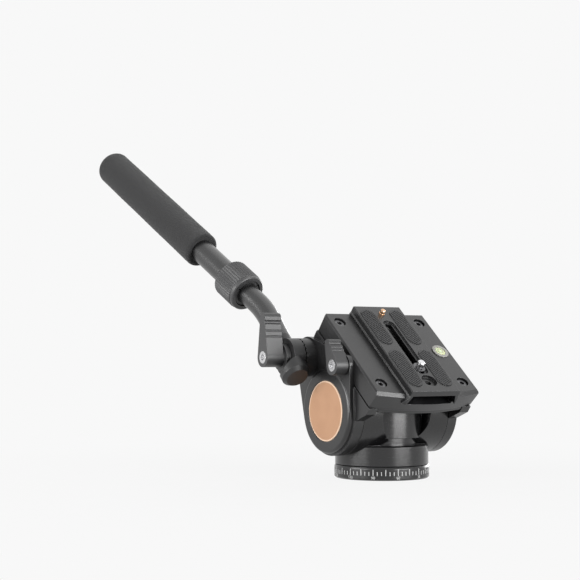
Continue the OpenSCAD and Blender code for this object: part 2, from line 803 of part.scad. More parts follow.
module pan_lock_stud() color(silver) translate([0, 0, pan_lock_z])
    rod_y(pan_stud_r, spindle_r + 0.35 + shoe_l, knob_y0 + pan_knob_l*0.7);

module brake_shoe() color(brass) translate([0, 0, pan_lock_z])
    rod_y(pan_stud_r, spindle_r + 0.35, spindle_r + 0.35 + shoe_l);

// Half outline of the platform's cross-section, with the dovetail channel
module platform_section() {
    top_x = flank_x(platform_top) + slide_gap;
    low_x = flank_x(floor_z) + slide_gap;
    relief_x = flank_x(foot_bottom) - foot_t - ledge;
    half = [[relief_x, floor_z - relief_h], [relief_x, floor_z], [low_x, floor_z],
            [top_x, platform_top - 0.5], [top_x + 0.5, platform_top],
            [arm_out - platform_bevel, platform_top], [arm_out, platform_top - platform_bevel],
            [arm_out, platform_bottom + platform_bevel], [arm_out - platform_bevel, platform_bottom]];
    mirrored = [for (i = [len(half) - 1:-1:0]) [-half[i][0], half[i][1]]];
    polygon(concat(half, mirrored));
}

module platform_plan() {
    corner = 3;
    polygon([[-arm_out + corner, platform_rear], [arm_out - corner, platform_rear],
             [arm_out, platform_rear - corner], [arm_out, nose_y - eps],
             [-arm_out, nose_y - eps], [-arm_out, platform_rear - corner]]);
}

module platform_side() {
    polygon([[platform_rear, platform_bottom + 1], [platform_rear, platform_top - platform_bevel],
             [platform_rear - platform_bevel, platform_top], [nose_y - eps, platform_top],
             [nose_y - eps, platform_bottom], [platform_rear - 1, platform_bottom]]);
}

// The front edge is part of a wide turned body, with a bevel above and a slope below
module platform_nose_body() {
    edge_z = platform_top - nose_bevel*0.8;
    translate([0, nose_y + nose_r, 0]) rotate_extrude($fn = 360)
        polygon([[0, 2*platform_bottom - edge_z], [nose_r - 2*nose_slope, 2*platform_bottom - edge_z],
                 [nose_r, edge_z], [nose_r - 2*nose_bevel, 2*platform_top - edge_z],
                 [0, 2*platform_top - edge_z]]);
}

// The lip under the front edge, a little behind the front face
module platform_lip() {
    half = arm_in - 0.6;
    front = nose_y + nose_slope + ledge;
    translate([0, 0, platform_bottom - lip_drop]) linear_extrude(lip_drop + 2) intersection() {
        translate([0, front + nose_r]) circle(nose_r, $fn = 360);
        translate([-half, nose_y]) square([2*half, lip_l]);
    }
}

module arm_screw_places() {
    for (x = [-arm_screw_x, arm_screw_x])
        for (y = [arm_screw_rear, -arm_screw_front])
            translate([x, y, 0]) children();
}

// The clamp jaw's outline, and the larger outline of its recess
module jaw_outline(side_gap, inner_gap) {
    x = jaw_x + side_gap;
    z0 = floor_z - jaw_drop - side_gap;
    z1 = platform_top - jaw_cover - jaw_clear + side_gap;
    low_x = -flank_x(floor_z) - inner_gap;
    polygon([[-x, z0], [low_x, z0], [low_x, floor_z], [-flank_x(z1) - inner_gap, z1], [-x, z1]]);
}

module platform() color(black) tilted() difference() {
    union() {
        intersection() {
            slab_y(nose_y - eps, platform_rear + eps) platform_section();
            translate([0, 0, platform_bottom - eps]) linear_extrude(platform_t + 2*eps) platform_plan();
            slab_x(-arm_out - eps, arm_out + eps) platform_side();
            platform_nose_body();
        }
        platform_lip();
    }
    arm_screw_places() {
        rod_z(counterbore_r, platform_top - counterbore_h, platform_top + eps);
        rod_z(arm_screw_r + 0.15, 0, platform_top);
    }
    translate([bubble_x, bubble_y, 0]) rod_z(bubble_r + 0.03, platform_top - bubble_h, platform_top + eps);
    slab_y(plate_lock_y - jaw_l/2 - jaw_clear, plate_lock_y + jaw_l/2 + jaw_clear)
        jaw_outline(jaw_clear, slide_gap - 0.4);
    translate([0, plate_lock_y, plate_lock_z]) rod_x(plate_stud_r + run, -jaw_x, -arm_out - eps);
}

module clamp_jaw() color(dark_steel) tilted()
    slab_y(plate_lock_y - jaw_l/2, plate_lock_y + jaw_l/2) jaw_outline(0, slide_gap);

// The side outline of an arm: a round end that runs up into a straight top
module arm_outline() {
    front = [-platform_front + 0.8, arm_front_z];
    rear = [platform_rear - 1.5, arm_rear_z];
    r = barrel_d/2;
    rear_touch = atan2(rear[1], rear[0]) - acos(r/norm(rear));
    circle(r);
    polygon([polar(r - seam, arm_front_angle), front, [front[0], platform_bottom],
             [rear[0], platform_bottom], rear, polar(r - seam, rear_touch), [0, 0]]);
}

// The arm's raised face leaves a narrow ledge along the arm's edges
module arm_face_outline() {
    r = barrel_d/2 - ledge;
    top = platform_bottom - ledge;
    rear_x = platform_rear - 1.5 - ledge;
    circle(r);
    polygon([polar(r - seam, arm_front_angle - 3), [-face_front, top], [rear_x, top],
             [rear_x, arm_rear_z + 2*ledge], polar(r - seam, -5), [0, 0]]);
}

// The lugs under the platform that take the arm screws
module arm_lugs(side) {
    for (y = [arm_screw_rear, -arm_screw_front])
        intersection() {
            translate([side*arm_screw_x, y, 0]) union() {
                rod_z(lug_r, 0, platform_bottom);
                translate([side > 0 ? 0 : -lug_r*2, -lug_r, 0]) cube([lug_r*2, 2*lug_r, platform_bottom]);
            }
            translate([-arm_out + ledge, y - 2*lug_r, lug_z])
                cube([2*(arm_out - ledge), 4*lug_r, platform_bottom - lug_z]);
        }
}

module arm_lug_bores(side) {
    for (y = [arm_screw_rear, -arm_screw_front])
        translate([side*arm_screw_x, y, 0])
            rod_z(arm_screw_r + fit, lug_z - eps, platform_bottom + eps);
}

// The raised pad joins the round boss, the plate lock and the handle's rosette
module pad_outline() {
    lock = [plate_lock_y, plate_lock_z];
    rose = [rosette_y, rosette_z];
    rose_r = rosette_r + 1.5;
    a0 = tangent_angle(lock, boss_r, plate_lock_pad_r, 1);
    a1 = tangent_angle(rose, boss_r, rose_r, -1);
    a2 = pair_angle(lock, plate_lock_pad_r, rose, rose_r, 1);
    circle(boss_r - boss_round - ledge);
    translate(lock) circle(plate_lock_pad_r);
    translate(rose) circle(rose_r);
    lock_edge = plate_lock_pad_r - seam;
    rose_edge = rose_r - seam;
    boss_edge = boss_r - seam;
    polygon([[0, 0], polar(boss_edge, a0), lock + polar(lock_edge, a0), lock, lock + polar(lock_edge, a2),
             rose + polar(rose_edge, a2), rose, rose + polar(rose_edge, a1), polar(boss_edge, a1)]);
}

// The boss rises from inside the arm and has a rounded shoulder
module boss_profile() {
    h = pad_t + boss_h + ledge;
    difference() {
        square([boss_r, h]);
        translate([boss_r - boss_round, h - boss_round]) difference() {
            square(boss_round + eps);
            circle(boss_round);
        }
        square([disc_r - 2, h + eps]);
    }
}

module left_arm() color(black) tilted() difference() {
    union() {
        slab_x(-arm_out, -arm_in) arm_outline();
        slab_x(-arm_out - face_t, -arm_out + eps) arm_face_outline();
        slab_x(-pad_out, -arm_out) pad_outline();
        revolve_x(-arm_out + ledge, -1) boss_profile();
        arm_lugs(-1);
    }
    rod_x(disc_r + 0.05, -disc_floor, -boss_out - eps);
    rod_x(disc_r + 0.9, -boss_out + 0.5, -boss_out - eps);
    rod_x(shaft_head_r + fit, -arm_out, -boss_out);
    rod_x(shaft_r + fit, 0, -boss_out);
    translate([0, plate_lock_y, plate_lock_z]) rod_x(plate_stud_r + 0.3, -arm_out + eps, -pad_out - eps);
    translate([0, rosette_y, rosette_z]) rod_x(spigot_r + fit, -arm_in, -pad_out - eps);
    arm_lug_bores(-1);
}

module right_arm() color(black) tilted() difference() {
    union() {
        slab_x(arm_in, arm_out) arm_outline();
        slab_x(arm_out + face_t, arm_out - eps) arm_face_outline();
        revolve_x(arm_out - 0.5, 1) difference() {
            square([boss_r - 2, right_boss_h + 0.5]);
            translate([boss_r - 2 - boss_round, right_boss_h + 0.5 - boss_round]) difference() {
                square(boss_round + eps);
                circle(boss_round);
            }
        }
        arm_lugs(1);
    }
    rod_x(shaft_r + fit, 0, pad_out + eps);
    rod_x(tilt_washer_r + fit, right_seat, pad_out + eps);
    arm_lug_bores(1);
}

module arm_screws() color(dark_steel) tilted()
    arm_screw_places() difference() {
        seat_z = platform_top - counterbore_h;
        union() {
            rod_z(counterbore_r - 0.9, seat_z, seat_z + arm_head_h);
            rod_z(arm_screw_r, lug_z + eps, seat_z + eps);
        }
        translate([0, 0, seat_z + arm_head_h*0.4])
            cylinder(r = arm_socket_r, h = arm_head_h, $fn = 6);
    }

module side_disc() color(copper) tilted()
    revolve_x(-disc_floor, -1) polygon([[0, 0], [disc_r, 0], [disc_r, disc_t - 0.4], [disc_r - 0.4, disc_t],
                                       [0, disc_t]]);

module tilt_shaft() color(silver) tilted() {
    rod_x(shaft_head_r, -disc_floor + fit, -arm_out - fit);
    rod_x(shaft_r, -arm_out - 0.5, right_seat);
    rod_x(tilt_end_r, arm_out, tilt_hub_x + tilt_hub_l*stud_share);
}

module tilt_lock_washer() color(dark_steel) tilted() difference() {
    rod_x(tilt_washer_r, right_seat, right_seat + tilt_washer_t);
    rod_x(tilt_end_r + fit, 0, barrel_w);
}

module tilt_lever_place() {
    tilted() translate([tilt_hub_x, 0, 0]) rotate([tilt_lever_angle - 90 - tilt_pose, 0, 0])
        rotate([0, 0, 180]) children();
}

module tilt_lock_lever() color(black) tilt_lever_place() difference() {
    lever_body(tilt_hub_r, tilt_hub_l, tilt_lever_reach, 0);
    lever_bores(tilt_hub_r, tilt_hub_l, tilt_end_r, tilt_hub_l*stud_share + stud_gap);
}

module tilt_lock_screw() color(silver) tilt_lever_place() cap_screw(tilt_hub_r, tilt_hub_l, tilt_end_r);

module bubble_ring() color(black) tilted() translate([bubble_x, bubble_y, 0]) difference() {
    rod_z(bubble_r, platform_top - bubble_h, platform_top + 0.8);
    rod_z(bubble_r - bubble_wall, platform_top - bubble_h + 1.5, platform_top + bubble_h);
    for (turn = [0, 180])
        rotate(bubble_dot_angle + turn) translate([bubble_r - bubble_wall/2, 0, 0])
            rod_z(bubble_dot_r, platform_top - 1, platform_top + bubble_h);
}

module bubble_vial() color("#d8e27a") tilted() translate([bubble_x, bubble_y, platform_top])
    rotate_extrude() {
        vial_r = bubble_r - bubble_wall - 0.05;
        polygon([[0, -bubble_h + 1.6], [vial_r, -bubble_h + 1.6], [vial_r, 0.2],
                 [vial_r - 0.9, 0.7], [0, 0.9]]);
    }

module plate_lever_place() {
    tilted() translate([-plate_hub_x, plate_lock_y, plate_lock_z])
        rotate([plate_lever_angle - 90, 0, 0]) children();
}

module plate_lock_lever() color(black) plate_lever_place() difference() {
    lever_body(plate_hub_r, plate_hub_l, plate_lever_reach, 0);
    lever_bores(plate_hub_r, plate_hub_l, plate_stud_r, plate_hub_l*stud_share + stud_gap);
}

module plate_lock_screw() color(silver) plate_lever_place()
    cap_screw(plate_hub_r, plate_hub_l, plate_stud_r);

module plate_lock_stud() color(dark_steel) tilted() translate([0, plate_lock_y, plate_lock_z])
    rod_x(plate_stud_r, -jaw_x - jaw_clear - 0.1, -plate_hub_x - plate_hub_l*stud_share);

module stadium(l, w) {
    for (s = [-1, 1]) translate([0, s*(l - w)/2]) circle(w/2);
    square([w, l - w], center = true);
}

module plate_section() {
    half = [[flank_x(slab_bottom) - foot_t, slab_bottom], [flank_x(foot_bottom) - foot_t, foot_bottom],
            [flank_x(foot_bottom), foot_bottom], [flank_x(slab_bottom), slab_bottom],
            [plate_w/2, plate_top - chamfer_small], [plate_w/2 - chamfer_small, plate_top]];
    mirrored = [for (i = [len(half) - 1:-1:0]) [-half[i][0], half[i][1]]];
    polygon(concat(half, mirrored));
}

module rubber_places() {
    for (x = [-rubber_x, rubber_x])
        for (y = [rubber_rear_y, -rubber_front_y])
            translate([x, y, 0]) children();
}

module on_plate() {
    tilted() translate([0, plate_y, 0]) children();
}

module quick_plate() color(black) on_plate() difference() {
    intersection() {
        slab_y(-plate_l/2, plate_l/2) plate_section();
        translate([0, 0, foot_bottom - eps]) linear_extrude(plate_top) {
            corner = 2.5;
            polygon([[-foot_w/2, -plate_l/2 + corner], [-foot_w/2 + corner, -plate_l/2],
                     [foot_w/2 - corner, -plate_l/2], [foot_w/2, -plate_l/2 + corner],
                     [foot_w/2, plate_l/2 - corner], [foot_w/2 - corner, plate_l/2],
                     [-foot_w/2 + corner, plate_l/2], [-foot_w/2, plate_l/2 - corner]]);
        }
    }
    translate([0, slot_mid, 0]) linear_extrude(plate_top + eps) stadium(slot_l, slot_w);
    translate([0, slot_mid, plate_top - slot_recess_h]) linear_extrude(slot_recess_h + eps)
        stadium(slot_l + slot_recess_w - slot_w, slot_recess_w);
    translate([0, 0, plate_top - rubber_depth]) linear_extrude(rubber_depth + eps)
        rubber_places() stadium(rubber_l + 0.1, rubber_w + 0.1);
    translate([0, pin_y, 0]) rod_z(pin_guide_r + run, slab_bottom - eps, plate_top + eps);
    translate([0, -plate_hole_y, 0]) {
        rod_z(plate_hole_r, slab_bottom - eps, plate_top + eps);
        rod_z(plate_mouth_r, plate_top - slab_t/2, plate_top + eps);
    }
}

module plate_pads() color(rubber) on_plate() translate([0, 0, plate_top - rubber_depth + 0.02]) {
    rib_step = rubber_l/(rib_n + 1);
    rubber_places() difference() {
        linear_extrude(rubber_depth + rubber_h) stadium(rubber_l, rubber_w);
        for (i = [1:rib_n])
            translate([0, -rubber_l/2 + i*rib_step, rubber_depth]) rotate(rib_slant)
                translate([-rubber_w, -rib_w/2, 0]) cube([2*rubber_w, rib_w, 2*rubber_h]);
    }
}

module pin_cup() color(dark_steel) on_plate() translate([0, pin_y, 0]) difference() {
    rod_z(pin_flange_r + 2, cup_z, slab_bottom - fit);
    rod_z(pin_flange_r + 0.3, cup_z + cup_floor, slab_bottom + eps);
}

module video_pin() color(brass) on_plate() translate([0, pin_y, 0])
    rotate_extrude() polygon([[0, pin_flange_z - pin_flange_t], [pin_flange_r, pin_flange_z - pin_flange_t],
        [pin_flange_r, pin_flange_z], [pin_guide_r, pin_flange_z], [pin_guide_r, stud_z], [pin_r, stud_z],
        [pin_r, plate_top + pin_h - pin_bevel], [pin_r - pin_bevel, plate_top + pin_h],
        [0, plate_top + pin_h]]);

module pin_spring() color(silver) on_plate() translate([0, pin_y, pin_spring_z]) rotate([0, -90, 0])
    coil_x(pin_flange_r - 0.9, pin_wire_r, pin_spring_pitch, pin_spring_turns, 6, 8);

module camera_screw() color(silver) on_plate() translate([0, -camera_y, 0]) difference() {
    head_z = slab_bottom - screw_drop;
    union() {
        rotate_extrude() polygon([[0, head_z - eps], [camera_neck_r, head_z - eps], [camera_neck_r, stud_z],
            [camera_r, stud_z], [camera_r, plate_top + camera_h - screw_bevel],
            [camera_r - screw_bevel, plate_top + camera_h], [0, plate_top + camera_h]]);
        rod_z(camera_head_r, head_z - camera_head_h, head_z);
    }
    translate([-2*camera_head_r, -driver_w/2, head_z - camera_head_h - eps])
        cube([4*camera_head_r, driver_w, driver_h + eps]);
}

module screw_clip() color(dark_steel) on_plate() translate([0, -camera_y, plate_top - slot_recess_h + 0.3])
    difference() {
        cylinder(r = clip_r, h = clip_t);
        translate([0, 0, -eps]) cylinder(r = camera_neck_r + run, h = clip_t + 2*eps);
    }

// The V grooves of a rosette's face, cut into it on the given side
module rosette_grooves(x, side) {
    w = 180/rosette_teeth*rosette_r/90;
    for (i = [0:rosette_teeth - 1])
        rotate([360*(i + 0.5)/rosette_teeth, 0, 0]) translate([x, 0, rosette_r - tooth_l])
            linear_extrude(tooth_l + eps)
                polygon([[-side*tooth_h, 0], [side*tooth_h, -2*w], [side*tooth_h, 2*w]]);
}

module handle_axis() {
    tilted() translate([0, rosette_y, rosette_z]) children();
}

module fixed_rosette() color(black) handle_axis() difference() {
    union() {
        rod_x(rosette_r, -pad_out, -rosette_out);
        rod_x(spigot_r, -arm_in - 0.5, -pad_out - eps);
    }
    rod_x(clamp_stud_r + fit, 0, -rosette_out - eps);
    rosette_grooves(-rosette_out, -1);
}

module clamp_stud() color(silver) handle_axis()
    rod_x(clamp_stud_r, -arm_in - 0.5, -lever_x - clamp_hub_l*stud_share);

// The lobe below the axis, the neck above it and the spigot inside the tube
module clamp_stem() {
    inner_r = tube_r - tube_wall - fit;
    translate([tube_x - lobe_shift, 0, 0]) revolve_y()
        polygon([[0, -lobe_drop], [lobe_r - lobe_bevel, -lobe_drop], [lobe_r, -lobe_drop + lobe_bevel],
                 [lobe_r, 0], [0, 0]]);
    translate([tube_x, 0, 0]) revolve_y()
        polygon([[0, -neck_start], [tube_r, -neck_start], [tube_r, neck_l], [inner_r, neck_l],
                 [inner_r, neck_l + spigot_l], [0, neck_l + spigot_l]]);
}

module handle_clamp() color(black) handle_frame() difference() {
    union() {
        rod_x(rosette_r, -clamp_in, -clamp_out);
        difference() {
            clamp_stem();
            rod_x(spotface_r, -clamp_out + stem_step, -clamp_out - 4*lobe_r);
            rod_x(rosette_r + 2, -clamp_in - stem_step, 0);
        }
    }
    rod_x(clamp_stud_r + run, 0, -clamp_out - eps);
    rosette_grooves(-clamp_in, 1);
    tube_frame_local() tube_screw_bore();
}

module tube_frame_local() {
    translate([tube_x, neck_l + spigot_l*0.5, 0]) children();
}

module tube_screw_bore() {
    rod_x(tube_screw_r + fit, tube_r - tube_screw_l, tube_r + eps);
}

module tube_screw() color(dark_steel) handle_frame() tube_frame_local() difference() {
    rod_x(tube_screw_r, tube_r - tube_screw_l, tube_r - 0.3);
    translate([tube_r - 2.3, 0, 0]) rotate([0, 90, 0]) cylinder(r = tube_screw_r*0.55, h = 4, $fn = 6);
}

module tube_ring() {
    difference() {
        circle(tube_r);
        circle(tube_r - tube_wall);
    }
}

// The handle's tube is brazed from a root stub, a bend and the long straight that telescopes
module tube_root() color(black) difference() {
    tube_frame() translate([0, neck_l, 0]) rotate([-90, 0, 0])
        linear_extrude(bend_start - neck_l) tube_ring();
    handle_frame() tube_frame_local() tube_screw_bore();
}

module tube_bend() color(black) tube_frame()
    translate([0, bend_start, 0]) rotate([0, bend_roll, 0]) translate([0, 0, -bend_r]) rotate([0, -90, 0])
        rotate_extrude(angle = bend_angle) translate([bend_r, 0]) tube_ring();

module inner_tube() color(black) grip_frame()
    rotate([-90, 0, 0]) linear_extrude(collar_start + tube_inside) tube_ring();

module handle_lever_place() {
    handle_axis() translate([-lever_x, 0, 0]) rotate([-tilt_pose, 0, 0]) children();
}

module handle_lock_lever() color(black) handle_lever_place() difference() {
    union() {
        lever_body(clamp_hub_r, clamp_hub_l, clamp_lever_reach, paddle_inset);
        rod_x(hub_flange_r, hub_flange_t, 0);
    }
    rod_x(clamp_stud_r + run, hub_flange_t + eps, 0);
    lever_bores(clamp_hub_r, clamp_hub_l, clamp_stud_r, clamp_hub_l*stud_share + stud_gap);
}

module handle_lock_screw() color(silver) handle_lever_place()
    cap_screw(clamp_hub_r, clamp_hub_l, clamp_stud_r);

module outer_tube() color(black) grip_frame() difference() {
    rod_y(outer_r, collar_start + mouth_h, collar_start + outer_len);
    rod_y(tube_r + tube_clear, 0, collar_start + outer_len + eps);
}

module tube_plug() color(rubber) grip_frame()
    rod_y(tube_r - fit, collar_start + outer_len - plug_l, collar_start + outer_len);

module collet() color("#2f2f33") grip_frame() translate([0, collar_start + 1.5, 0]) difference() {
    rod_y(collet_r, 0, mouth_h - 1.5);
    rod_y(tube_r + tube_clear, -eps, mouth_h);
    for (a = [20, 140, 260])
        rotate([0, a, 0]) translate([-0.6, -eps, 0]) cube([1.2, mouth_h - 2, collet_r + eps]);
}

// The ribbed outline of the collar
module rib_outline(r) {
    polygon([for (i = [0:2*collar_ribs - 1]) polar(r - (i % 2)*collar_rib_h, 180*i/collar_ribs)]);
}

module lock_collar() color(black) grip_frame() translate([0, collar_start, 0]) difference() {
    union() {
        intersection() {
            rotate([-90, 0, 0]) linear_extrude(collar_l) rib_outline(collar_r);
            revolve_y() polygon([[0, 4], [collar_r - 0.6, 4], [collar_r, 5], [collar_r, collar_l - 3],
                                 [collar_r - 2.5, collar_l], [0, collar_l]]);
        }
        revolve_y()
            polygon([[0, 0], [collar_r - 1.8, 0], [collar_r - 0.9, 0.9], [collar_r - 0.9, 5], [0, 5]]);
    }
    rod_y(outer_r + run, -eps, collar_l + eps);
    rod_y(collet_r + 0.4, -eps, mouth_h);
}

module foam_grip() color(foam) grip_frame() translate([0, collar_start + collar_l + bare_l, 0]) revolve_y()
    difference() {
        union() {
            translate([0, grip_near_round]) square([grip_r, grip_l - grip_near_round - grip_round]);
            square([grip_r - grip_near_round, grip_l/2]);
            translate([grip_r - grip_near_round, grip_near_round]) circle(grip_near_round);
            translate([0, grip_l/2]) square([grip_r - grip_round, grip_l/2]);
            translate([grip_r - grip_round, grip_l - grip_round]) circle(grip_round);
        }
        translate([0, -eps]) square([outer_r + fit, grip_l - grip_cap_t + eps]);
    }

scale_ring();
thread_bush();
pan_spindle();
spindle_screws();
pan_washer();
spindle_nut();
friction_ring();
pan_housing();
pan_bush();
bearing_plate();
retaining_ring();
tilt_bushes();
drag_stators();
counterbalance_spring();
pan_lock_knob();
pan_lock_stud();
brake_shoe();
platform();
left_arm();
right_arm();
arm_screws();
side_disc();
tilt_shaft();
drag_rotors();
bubble_ring();
bubble_vial();
tilt_lock_washer();
tilt_lock_lever();
tilt_lock_screw();
plate_lock_lever();
plate_lock_stud();
plate_lock_screw();
clamp_jaw();
quick_plate();
plate_pads();
pin_cup();
video_pin();
pin_spring();
camera_screw();
screw_clip();
fixed_rosette();
clamp_stud();
handle_clamp();
tube_root();
tube_bend();
inner_tube();
tube_screw();
handle_lock_lever();
handle_lock_screw();
outer_tube();
tube_plug();
collet();
lock_collar();
foam_grip();
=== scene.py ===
import json
import math

import bpy
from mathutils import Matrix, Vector


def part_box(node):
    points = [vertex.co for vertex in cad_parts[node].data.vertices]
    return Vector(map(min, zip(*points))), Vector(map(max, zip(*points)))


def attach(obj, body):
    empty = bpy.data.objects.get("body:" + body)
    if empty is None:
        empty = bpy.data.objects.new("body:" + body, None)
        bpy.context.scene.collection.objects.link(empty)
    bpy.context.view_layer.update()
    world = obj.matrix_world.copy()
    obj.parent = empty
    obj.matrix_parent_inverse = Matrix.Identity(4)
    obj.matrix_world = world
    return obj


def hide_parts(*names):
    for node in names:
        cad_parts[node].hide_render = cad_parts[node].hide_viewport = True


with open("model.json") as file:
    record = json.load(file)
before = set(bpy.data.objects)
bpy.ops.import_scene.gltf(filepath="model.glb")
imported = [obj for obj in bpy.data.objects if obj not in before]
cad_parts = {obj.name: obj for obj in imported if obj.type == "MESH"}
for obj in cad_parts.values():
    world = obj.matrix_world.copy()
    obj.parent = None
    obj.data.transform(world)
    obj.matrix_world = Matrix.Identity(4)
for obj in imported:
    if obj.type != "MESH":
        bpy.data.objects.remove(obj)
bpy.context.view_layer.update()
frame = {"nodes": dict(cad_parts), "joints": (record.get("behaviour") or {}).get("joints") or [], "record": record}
nodes = frame["nodes"]


def joint(name):
    return next(j for j in frame["joints"] if j["name"] == name)


# Places that the frame gives, in metres; UP is square to the tipped platform
TILT_Z = joint("tilt")["pos_m"][2]
UP = Vector(joint("camera_screw_turn")["axis"])
DISC_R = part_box("side_disc")[1].y

# Materials

# Places of the colour sockets on a Mix node
MIX_A, MIX_B = 6, 7
MIX_RESULT = 2


class Tree:
    """A short way to build one material's nodes."""

    def __init__(self, name):
        self.material = bpy.data.materials.new(name)
        self.material.use_nodes = True
        self.tree = self.material.node_tree
        self.tree.nodes.clear()
        self.out = self.tree.nodes.new("ShaderNodeOutputMaterial")

    def add(self, kind, **values):
        node = self.tree.nodes.new("ShaderNode" + kind)
        for key, value in values.items():
            setattr(node, key, value)
        return node

    def link(self, a, b):
        self.tree.links.new(a, b)

    def math(self, operation, a, b):
        node = self.add("Math", operation=operation)
        for socket, value in zip(node.inputs, (a, b)):
            if isinstance(value, (int, float)):
                socket.default_value = value
            else:
                self.link(value, socket)
        return node.outputs[0]

    def coords(self):
        return self.add("TexCoord").outputs["Object"]

    def noise(self, vector, scale, detail=2.0, rough=0.5):
        node = self.add("TexNoise")
        node.inputs["Scale"].default_value = scale
        node.inputs["Detail"].default_value = detail
        node.inputs["Roughness"].default_value = rough
        self.link(vector, node.inputs["Vector"])
        return node.outputs["Fac"]

    def spread(self, value, low, high, start=0.3, end=0.7):
        node = self.add("MapRange")
        node.inputs["From Min"].default_value = start
        node.inputs["From Max"].default_value = end
        node.inputs["To Min"].default_value = low
        node.inputs["To Max"].default_value = high
        self.link(value, node.inputs["Value"])
        return node.outputs["Result"]

    def mix(self, factor, a, b):
        node = self.add("Mix", data_type="RGBA")
        self.link(factor, node.inputs["Factor"])
        for socket, value in ((node.inputs[MIX_A], a), (node.inputs[MIX_B], b)):
            if isinstance(value, tuple):
                socket.default_value = (*value, 1)
            else:
                self.link(value, socket)
        return node.outputs[MIX_RESULT]

    def from_tilt_axis(self, vector):
        """Distance from the tilt axis, which runs along x."""
        moved = self.add("VectorMath", operation="SUBTRACT")
        self.link(vector, moved.inputs[0])
        moved.inputs[1].default_value = (0, 0, TILT_Z)
        flat = self.add("VectorMath", operation="MULTIPLY")
        self.link(moved.outputs[0], flat.inputs[0])
        flat.inputs[1].default_value = (0, 1, 1)
        length = self.add("VectorMath", operation="LENGTH")
        self.link(flat.outputs[0], length.inputs[0])
        return length.outputs["Value"]

    def rounded(self, radius):
        """The surface's normal with sharp edges rounded."""
        bevel = self.add("Bevel", samples=6)
        bevel.inputs["Radius"].default_value = radius
        return bevel.outputs["Normal"]

    def edge_mask(self, rounded):
        """High along sharp edges, from a rounded normal against the true one."""
        flat = self.add("NewGeometry").outputs["Normal"]
        dot = self.add("VectorMath", operation="DOT_PRODUCT")
        self.link(rounded, dot.inputs[0])
        self.link(flat, dot.inputs[1])
        return self.spread(dot.outputs["Value"], 1.0, 0.0, 0.86, 0.995)

    def bump(self, height, distance, normal=None):
        node = self.add("Bump")
        node.inputs["Strength"].default_value = 1.0
        node.inputs["Distance"].default_value = distance
        self.link(height, node.inputs["Height"])
        if normal is not None:
            self.link(normal, node.inputs["Normal"])
        return node.outputs["Normal"]

    def surface(self, color, rough, normal=None, metallic=0.0, coat=0.0, **sockets):
        shader = self.add("BsdfPrincipled")
        for name, value in (("Base Color", color), ("Roughness", rough), ("Normal", normal)):
            if value is None:
                continue
            if isinstance(value, tuple):
                shader.inputs[name].default_value = (*value, 1)
            elif isinstance(value, (int, float)):
                shader.inputs[name].default_value = value
            else:
                self.link(value, shader.inputs[name])
        shader.inputs["Metallic"].default_value = metallic
        shader.inputs["Coat Weight"].default_value = coat
        shader.inputs["Coat Roughness"].default_value = 0.25
        for name, value in sockets.items():
            shader.inputs[name.replace("_", " ")].default_value = value
        self.link(shader.outputs[0], self.out.inputs["Surface"])
        return self.material


def coated(name, color, rough, grain, grain_height, edge_highlight, bevel=0.0006, shiny=0.9):
    """A coated, plastic or rubber surface: fine grain, soft blotches and, with a bevel, a painted highlight along
    its sharp edges.
    """
    t = Tree(name)
    xyz = t.coords()
    fine = t.noise(xyz, grain, 3.0, 0.6)
    broad = t.noise(xyz, 60, 2.0)
    dark = tuple(c * 0.82 for c in color)
    light = tuple(c * 1.18 for c in color)
    body = t.mix(t.spread(broad, 0.0, 1.0), dark, light)
    rounded = None
    if bevel:
        rounded = t.rounded(bevel)
        # Painted highlight: sharp edges are mixed towards a lighter colour, standing in for the light that rounded
        # edges catch.
        body = t.mix(t.math("MULTIPLY", t.edge_mask(rounded), 0.6), body, edge_highlight)
    shine = t.spread(fine, rough - 0.06, rough + 0.06)
    return t.surface(body, shine, t.bump(fine, grain_height, rounded), Specular_IOR_Level=shiny)


def bare_metal(name, color, rough):
    """Bare metal with a fine grain and softened edges."""
    t = Tree(name)
    grain = t.noise(t.coords(), 900, 2.0, 0.7)
    dark = tuple(c * 0.72 for c in color)
    body = t.mix(t.spread(grain, 0.0, 1.0), dark, color)
    shine = t.spread(grain, rough - 0.08, rough + 0.1)
    return t.surface(body, shine, t.bump(grain, 0.00002, t.rounded(0.0003)), metallic=1.0)


def foam_material():
    """Open-pored foam with darker specks."""
    t = Tree("foam")
    xyz = t.coords()
    pores = t.add("TexVoronoi")
    pores.inputs["Scale"].default_value = 850
    t.link(xyz, pores.inputs["Vector"])
    fine = t.noise(xyz, 1500, 3.0, 0.65)
    speck = t.noise(xyz, 520, 2.0)
    base = t.mix(t.spread(fine, 0.0, 1.0, 0.25, 0.75), (0.013, 0.013, 0.0135), (0.037, 0.037, 0.038))
    base = t.mix(t.spread(speck, 0.0, 0.5, 0.55, 0.75), base, (0.009, 0.009, 0.0095))
    rough_height = t.math("ADD", pores.outputs["Distance"], fine)
    return t.surface(base, 0.92, t.bump(rough_height, 0.0004), Sheen_Weight=0.15)


# Width of the painted highlight ring at the copper disc's border
DISC_HIGHLIGHT_WIDTH = 0.0016


def copper_material():
    """The side disc: satin copper with a thin lighter ring at its border, a painted highlight."""
    t = Tree("copper_disc")
    xyz = t.coords()
    fine = t.noise(xyz, 1600, 3.0, 0.7)
    broad = t.noise(xyz, 45, 3.0)
    color = t.mix(t.spread(broad, 0.0, 1.0), (0.485, 0.268, 0.152), (0.545, 0.309, 0.18))
    # Painted highlight: a thin ring at the disc's border is mixed towards a light copper colour, standing in for
    # the light its chamfer catches.
    rim_highlight = t.spread(t.from_tilt_axis(xyz), 0.0, 1.0, DISC_R - DISC_HIGHLIGHT_WIDTH, DISC_R - DISC_HIGHLIGHT_WIDTH / 2)
    color = t.mix(rim_highlight, color, (0.86, 0.63, 0.46))
    return t.surface(color, t.spread(fine, 0.42, 0.55), t.bump(fine, 0.00003), metallic=0.25)


